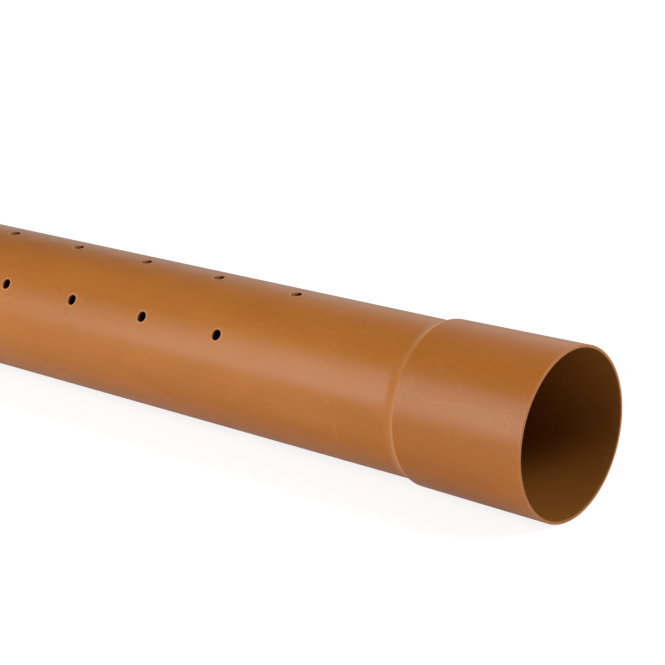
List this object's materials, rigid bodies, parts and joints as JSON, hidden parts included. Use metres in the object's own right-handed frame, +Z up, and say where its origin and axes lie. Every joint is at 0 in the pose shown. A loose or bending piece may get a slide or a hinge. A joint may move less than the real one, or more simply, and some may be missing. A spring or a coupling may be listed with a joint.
{
  "type": "perforated drain pipe",
  "caption": "Rigid plastic drain pipe with a plain tapered socket on one end and two staggered rows of round drain holes along one side.",
  "frame": {"origin": "on the pipe's axis at the root of the socket, where the end of the next pipe stops", "axes": "+X along the pipe's axis and out of the socket's mouth, with the spigot end towards -X; +Z up as the pipe lies, with one row of holes near the top and the other on the -Y side"},
  "size_m": [2.103, 0.117, 0.1172],
  "materials": {
    "pvc": "orange-brown rigid PVC with a satin, faintly drawn surface from extrusion"
  },
  "bodies": {
    "root": {"pipe": "pvc"}
  },
  "joints": []
}
